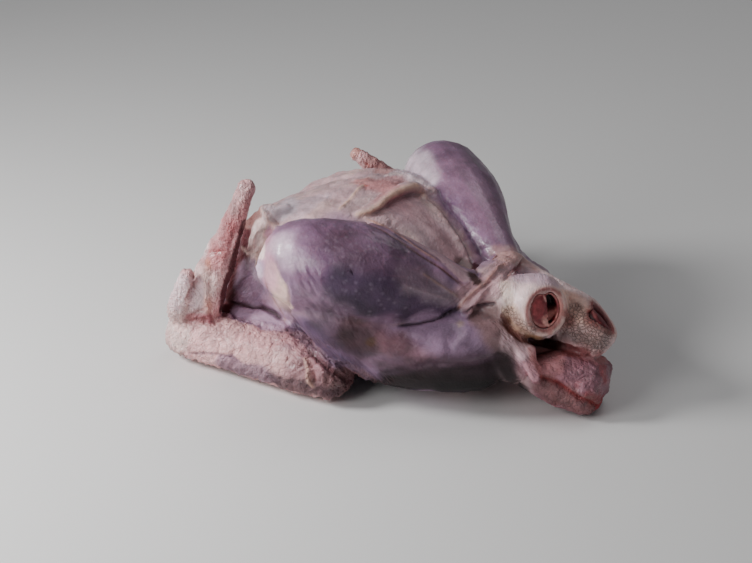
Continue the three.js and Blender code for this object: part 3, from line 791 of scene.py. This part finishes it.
def cut_ends(s):
    """The paler ring of skin and fat round each cut bone, the red flesh behind each cut, and the painted
    shade inside the vent and the wing's crevice.
    """
    p = s.points
    for which, (_, _, reach) in CUTS.items():
        ring = "c6a4a2" if which == "near" else "8e5c5c"
        depth, radius, _, _ = about_the_cut(p, which)
        face = smoothstep(-2.5, -0.8, depth)
        s.tint(face * (1 - smoothstep(reach + 1, reach + 6, radius)), ring, 0.8)
        s.tint(face * np.exp(-(((radius - reach + 1) / 1.2) ** 2)), "8a4e4c", 0.7)
        s.tint(face * np.exp(-(((radius - reach - 2) / 1.2) ** 2)), "ecd8d2", 0.8)
        pocket = smoothstep(-1.5, -4, depth) * smoothstep(-13, -11, depth)
        pocket *= 1 - smoothstep(reach - 2, reach, radius)
        s.tint(pocket, CRIMSON, 0.95)
    lay(s, CUT_STROKES)
    # Painted shade in the vent, the hollow under the hocks.
    vent = smoothstep(38, 30, np.abs(p[:, 1] + 3)) * smoothstep(84, 96, p[:, 0])
    vent *= smoothstep(168, 158, p[:, 0] + 0.5 * np.maximum(0, -p[:, 1] - 12))
    vent *= smoothstep(43, 46, p[:, 2]) * smoothstep(75, 70, p[:, 2])
    inside = 1 - np.maximum(limb_zone(p, HOCK_NEAR, 1.1, 1.2), limb_zone(p, HOCK_FAR, 1.1, 1.2))
    s.tint(vent * inside, VENT_SHADE, 0.95)
    # Painted shade in the crevice between the near wing's hand and the body.
    s.tint(limb_zone(p, WING_CREVICE, 1.0, 1.25), MAROON_SHADE, 0.9)


def finish(mesh, places, paint):
    """Moves a surface to its finished places on the sheet and lays its paint on it."""
    mesh.vertices.foreach_set("co", ((places - SHEET) / METRE).astype(np.float32).ravel())
    mesh.polygons.foreach_set("use_smooth", np.ones(len(mesh.polygons), bool))
    laid = mesh.attributes.new("paint", "FLOAT_COLOR", "POINT")
    laid.data.foreach_set("color", np.c_[paint, np.ones(len(paint))].astype(np.float32).ravel())


def skin_of_the_bird():
    """The bird's skin: an even copy of the solid with its folds, wrinkles, paint and traits."""
    obj = whole_copy("turkey", "turkey_skin")
    remade(obj, "REMESH", mode="VOXEL", voxel_size=FINE_MESH)
    relaxed(obj, 14)
    s = Skin(obj)
    legs = paint_zones(s)
    paint_details(s)
    paint_tail(s)
    cut_ends(s)
    shape_folds(s)
    shape_wrinkles(s, legs)
    pebble(s)
    dull = np.maximum(smoothstep(0.08, 0.02, s.paint[:, 1]), 0.9 * smoothstep(0.0, -0.4, s.facing[:, 2]))
    dull = np.maximum(dull, 0.75 * s.stroke([(445, 325), (462, 345)], 12, 10))
    s.traits["wet"] = np.clip(0.45 + 0.4 * swell(s.points, 20, 31) + 0.3 * legs, 0, 1) * (1 - dull)
    off_the_table = smoothstep(0.5, 6, s.points[:, 2])
    lift = np.clip(s.lift, -MOST_LIFT, MOST_LIFT) * off_the_table
    moved = s.points + s.facing * lift[:, None]
    moved[:, 2] = np.maximum(moved[:, 2], LOWEST)
    mesh = obj.data
    finish(mesh, moved, s.paint)
    for name in TRAITS:
        trait = mesh.attributes.new(name, "FLOAT", "POINT")
        trait.data.foreach_set("value", np.clip(s.traits[name], 0, 1).astype(np.float32))
    mesh.update()
    triangles = len(mesh.loops) - 2 * len(mesh.polygons)
    if triangles > MOST_TRIANGLES:
        remade(obj, "DECIMATE", ratio=MOST_TRIANGLES / triangles)
    return obj


class Nodes:
    """A short way to lay out and join shader nodes."""

    def __init__(self, tree):
        self.tree = tree

    def add(self, kind, **settings):
        node = self.tree.nodes.new(kind)
        for name, value in settings.items():
            setattr(node, name, value)
        return node

    def set(self, node, **values):
        """Joins or sets a node's inputs, each by its name, or by its number as _0, _1 and so on."""
        for name, value in values.items():
            socket = node.inputs[int(name[1:])] if name[0] == "_" else node.inputs[name.replace("_", " ")]
            if hasattr(value, "is_linked"):
                self.tree.links.new(value, socket)
            else:
                socket.default_value = value
        return node

    def mixed(self, amount, a, b, blend="MIX"):
        node = self.add("ShaderNodeMix", data_type="RGBA", blend_type=blend)
        return self.set(node, _0=amount, _6=a, _7=b).outputs[2]

    def maths(self, kind, *values):
        node = self.add("ShaderNodeMath", operation=kind)
        return self.set(node, **{f"_{i}": value for i, value in enumerate(values)}).outputs[0]

    def ranged(self, value, low, high, to_low=0.0, to_high=1.0):
        node = self.add("ShaderNodeMapRange")
        self.set(node, Value=value, From_Min=low, From_Max=high, To_Min=to_low, To_Max=to_high)
        return node.outputs["Result"]


def group(name, inputs, outputs):
    """A shader node group with named inputs and outputs: the group, its nodes, its input and its output."""
    tree = bpy.data.node_groups.new(name, "ShaderNodeTree")
    for label, kind, value in inputs:
        socket = tree.interface.new_socket(label, in_out="INPUT", socket_type=kind)
        if value is not None:
            socket.default_value = value
    for label, kind in outputs:
        tree.interface.new_socket(label, in_out="OUTPUT", socket_type=kind)
    k = Nodes(tree)
    return tree, k, k.add("NodeGroupInput"), k.add("NodeGroupOutput")


def fresh_material(name):
    material = bpy.data.materials.new(name)
    material.use_nodes = True
    return material, Nodes(material.node_tree), material.node_tree.nodes["Principled BSDF"]


def drawn_out(k, place, along, long, short):
    """Noise drawn out along a direction on the object, as ridges from 0 to 1."""
    along = Vector(along).normalized()
    across = Vector(BACK).cross(along).normalized()
    out = along.cross(across)
    turn = Matrix((along, across, out)).to_euler()
    turned = k.set(k.add("ShaderNodeMapping"), Vector=place, Rotation=turn)
    stretch = (short / long, 1, short / long)
    stretched = k.set(k.add("ShaderNodeMapping"), Vector=turned.outputs[0], Scale=stretch)
    grain = k.add("ShaderNodeTexNoise")
    k.set(grain, Vector=stretched.outputs[0], Scale=1 / short, Detail=2.5, Roughness=0.55)
    away = k.maths("ABSOLUTE", k.maths("SUBTRACT", grain.outputs["Fac"], 0.5))
    return k.ranged(away, 0.0, 0.14, 0.0, 1.0)


def skin_grain():
    """Pores, fine creases with painted shade in their grooves, and mottling of raw skin."""
    kinds = [("Place", "NodeSocketVector", None), ("Colour", "NodeSocketColor", (0.5, 0.4, 0.4, 1))]
    kinds += [(name.capitalize(), "NodeSocketFloat", 0.0) for name in TRAITS]
    tree, k, into, out = group(
        "skin_grain", kinds,
        [("Colour", "NodeSocketColor"), ("Height", "NodeSocketFloat"), ("Gloss", "NodeSocketFloat")],
    )
    place = into.outputs["Place"]
    mottle = k.set(k.add("ShaderNodeTexNoise"), Vector=place, Scale=75.0, Detail=4.0, Roughness=0.62)
    fine = k.set(k.add("ShaderNodeTexNoise"), Vector=place, Scale=430.0, Detail=3.0, Roughness=0.6)
    crumple = k.set(k.add("ShaderNodeTexNoise"), Vector=place, Scale=230.0, Detail=3.0, Distortion=0.8)
    pores = k.set(k.add("ShaderNodeTexVoronoi", feature="F1"), Vector=place, Scale=170.0, Randomness=0.9)
    scales = k.set(k.add("ShaderNodeTexVoronoi", feature="DISTANCE_TO_EDGE"), Vector=place, Scale=350.0)
    veins = k.set(k.add("ShaderNodeTexVoronoi", feature="DISTANCE_TO_EDGE"), Vector=place, Scale=62.0)
    rising = drawn_out(k, place, lie(38), 0.007, 0.0022)
    falling = drawn_out(k, place, lie(-46), 0.009, 0.0021)
    upright = drawn_out(k, place, lie(88), 0.008, 0.0021)
    bent = k.add("ShaderNodeVectorMath", operation="MULTIPLY_ADD")
    k.set(bent, _0=mottle.outputs["Color"], _1=(0.012,) * 3, _2=place)
    cracks = k.add("ShaderNodeTexVoronoi", feature="DISTANCE_TO_EDGE")
    k.set(cracks, Vector=bent.outputs[0], Scale=210.0)
    crack = k.ranged(cracks.outputs["Distance"], 0.0, 0.22, 0.0, 1.0)
    pore = k.ranged(pores.outputs["Distance"], 0.1, 0.34, 1.0, 0.0)
    vein = k.ranged(veins.outputs["Distance"], 0.0, 0.05, 1.0, 0.0)
    scale = k.ranged(scales.outputs["Distance"], 0.0, 0.16, 0.0, 1.0)
    lines = k.maths("MULTIPLY", rising, into.outputs["Rising"])
    lines = k.maths("MULTIPLY_ADD", falling, into.outputs["Falling"], lines)
    lines = k.maths("MULTIPLY_ADD", upright, into.outputs["Upright"], lines)
    marked = k.maths("ADD", into.outputs["Rising"], into.outputs["Falling"])
    marked = k.maths("ADD", marked, into.outputs["Upright"])
    sunk = k.maths("SUBTRACT", marked, lines)
    light = k.ranged(mottle.outputs["Fac"], 0.32, 0.68, 0.74, 1.24)
    colour = k.mixed(1.0, into.outputs["Colour"], light, "MULTIPLY")
    pale = k.maths("MULTIPLY", pore, k.maths("MULTIPLY", into.outputs["Goose"], 0.1))
    colour = k.mixed(pale, colour, (0.5, 0.4, 0.5, 1))
    # The grooves between the fine lines are painted darker, as shade in the creases.
    colour = k.mixed(k.maths("MULTIPLY", sunk, 0.22), colour, (0.2, 0.09, 0.1, 1))
    vein = k.maths("MULTIPLY", vein, k.maths("MULTIPLY", into.outputs["Wet"], 0.15))
    colour = k.mixed(vein, colour, (0.3, 0.1, 0.15, 1))
    grooves = k.maths("MULTIPLY", k.maths("SUBTRACT", 1.0, scale), into.outputs["Scaly"])
    colour = k.mixed(k.maths("MULTIPLY", grooves, 0.55), colour, (0.14, 0.08, 0.07, 1))
    crumpled = k.maths("MULTIPLY_ADD", into.outputs["Crinkle"], 1.3, 0.4)
    height = k.maths("MULTIPLY", crumple.outputs["Fac"], crumpled)
    height = k.maths("MULTIPLY_ADD", fine.outputs["Fac"], 0.45, height)
    height = k.maths("MULTIPLY_ADD", lines, 0.6, height)
    height = k.maths("MULTIPLY_ADD", crack, k.maths("MULTIPLY", into.outputs["Crinkle"], 0.75), height)
    height = k.maths("MULTIPLY_ADD", k.maths("MULTIPLY", pore, into.outputs["Goose"]), 0.12, height)
    height = k.maths("MULTIPLY_ADD", grooves, -0.9, height)
    gloss = k.ranged(mottle.outputs["Fac"], 0.3, 0.7, 0.34, 0.50)
    gloss = k.maths("ADD", gloss, k.ranged(into.outputs["Wet"], 0.0, 0.35, 0.4, 0.0))
    k.set(out, Colour=colour, Height=height, Gloss=gloss)
    return tree


def raw_skin(grain):
    """The material of the whole skin: its paint through the grain, under a thin wet coat."""
    material, k, shader = fresh_material("raw_skin")
    paint = k.add("ShaderNodeAttribute", attribute_name="paint")
    effect = k.add("ShaderNodeGroup", node_tree=grain)
    k.set(effect, Place=k.add("ShaderNodeTexCoord").outputs["Object"], Colour=paint.outputs["Color"])
    for name in TRAITS:
        trait = k.add("ShaderNodeAttribute", attribute_name=name)
        k.set(effect, **{name.capitalize(): trait.outputs["Fac"]})
        if name == "wet":
            wet = trait
    bump = k.set(k.add("ShaderNodeBump"), Strength=0.85, Distance=0.0011, Height=effect.outputs["Height"])
    k.set(shader, Base_Color=effect.outputs["Colour"], Roughness=effect.outputs["Gloss"])
    k.set(shader, Normal=bump.outputs["Normal"])
    k.set(shader, Coat_Weight=k.ranged(wet.outputs["Fac"], 0.2, 0.9, 0.03, 0.5))
    shader.inputs["Coat Roughness"].default_value = 0.21
    shader.inputs["Specular IOR Level"].default_value = 0.4
    shader.inputs["Subsurface Weight"].default_value = 0.12
    shader.inputs["Subsurface Radius"].default_value = (1.0, 0.42, 0.32)
    shader.inputs["Subsurface Scale"].default_value = 0.003
    return material


def plain_floor():
    form = bmesh.new()
    bmesh.ops.create_grid(form, x_segments=1, y_segments=1, size=6)
    floor = made_of(form, "studio_floor")
    material, _, shader = fresh_material("pale_floor")
    shader.inputs["Base Color"].default_value = (0.78, 0.77, 0.76, 1)
    shader.inputs["Roughness"].default_value = 0.8
    floor.data.materials.append(material)


def light(name, way, distance, size, power):
    """A round soft lamp that looks at the bird from a direction."""
    lamp = bpy.data.lights.new(name, "AREA")
    lamp.shape = "DISK"
    lamp.size = size
    lamp.energy = power
    obj = fresh_object(name, lamp)
    way = Vector(way).normalized()
    obj.location = AIM + way * distance
    obj.rotation_euler = way.to_track_quat("Z", "Y").to_euler()


def studio():
    eye = bpy.data.cameras.new("picture_camera")
    eye.lens, eye.sensor_width = LENS, SENSOR
    eye.clip_end = 50
    camera = fresh_object("picture_camera", eye)
    camera.location = EYE
    camera.rotation_euler = BACK.to_track_quat("Z", "Y").to_euler()
    bpy.context.scene.camera = camera
    world = bpy.data.worlds.new("soft_room")
    world.use_nodes = True
    world.node_tree.nodes["Background"].inputs["Color"].default_value = (0.93, 0.95, 1.0, 1)
    world.node_tree.nodes["Background"].inputs["Strength"].default_value = 0.14
    bpy.context.scene.world = world
    light("key", -RIGHT * 0.80 + UP * 0.42 + BACK * 0.36, 1.0, 0.32, 10.0)
    light("front", -RIGHT * 0.62 + UP * 0.15 + BACK * 0.80, 1.0, 0.5, 3.8)
    light("fill", RIGHT * 0.35 + UP * 0.9 + BACK * 0.1, 2.6, 1.6, 10)


def bone_end(node, name, which):
    """The marrow of a cut leg bone: one lobe full and smooth, the other an empty hollow painted dark as
    shade.
    """
    obj = whole_copy(node, name)
    remade(obj, "REMESH", mode="VOXEL", voxel_size=BONE_MESH)
    s = Skin(obj)
    depth, radius, across, up = about_the_cut(s.points, which)
    flesh, dark = ("6e3338", "1c0a0a") if which == "near" else ("57242a", "2a0e10")
    s.paint[:] = tone(flesh)
    s.tint(smoothstep(0.2, 1.2, swell(s.points, 3.0, 41)), "8d4a4c", 0.5)
    sunk = smoothstep(-2.2, -4.0, depth)
    face = smoothstep(-3.0, -1.8, depth)
    lobe = 1 - smoothstep(3.0, 7.0, np.hypot(across + 5, (up - 1) * 0.6))
    rim = np.exp(-(((radius - 12.5) / 1.0) ** 2)) * face
    s.tint(rim, "b58784", 0.8)
    if which == "near":
        lay(s, MARROW_STROKES, face)
    # The hollow is painted dark as shade.
    s.tint(sunk, dark, 0.97)
    s.lift = 1.3 * lobe * face + 0.12 * swell(s.points, 2.5, 43)
    moved = s.points + s.facing * s.lift[:, None]
    if which == "near":  # the low side of its hollow is filled nearly to the face
        filled = smoothstep(1.5, -3.5, up) * smoothstep(11.8, 11.0, radius)
        s.tint(sunk * filled, "a06c68", 0.85)
        lay(s, HOLLOW_STROKES)
        out = CUTS[which][1] / np.linalg.norm(CUTS[which][1])
        moved += out * (filled * np.maximum(0, -2.6 - depth) * 0.8)[:, None]
    finish(obj.data, moved, s.paint)
    return obj


def marrow(name):
    """The material of a cut bone's soft inside."""
    material, k, shader = fresh_material(name)
    paint = k.add("ShaderNodeAttribute", attribute_name="paint")
    place = k.add("ShaderNodeTexCoord").outputs["Object"]
    grain = k.set(k.add("ShaderNodeTexNoise"), Vector=place, Scale=500.0, Detail=3.0)
    shade = k.ranged(grain.outputs["Fac"], 0.3, 0.7, 0.75, 1.25)
    bump = k.set(k.add("ShaderNodeBump"), Strength=0.5, Distance=0.0004, Height=grain.outputs["Fac"])
    k.set(shader, Base_Color=k.mixed(1.0, paint.outputs["Color"], shade, "MULTIPLY"))
    k.set(shader, Normal=bump.outputs["Normal"])
    shader.inputs["Roughness"].default_value = 0.42 if name.endswith("near") else 0.6
    return material


def main():
    studio()
    plain_floor()
    body = skin_of_the_bird()
    body.data.materials.clear()
    body.data.materials.append(raw_skin(skin_grain()))
    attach(body, "root")
    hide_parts("turkey")
    for which in CUTS:
        piece = bone_end("leg_bone_" + which, "marrow_end_" + which, which)
        piece.data.materials.clear()
        piece.data.materials.append(marrow("marrow_flesh_" + which))
        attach(piece, "root")
        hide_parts("leg_bone_" + which)


main()
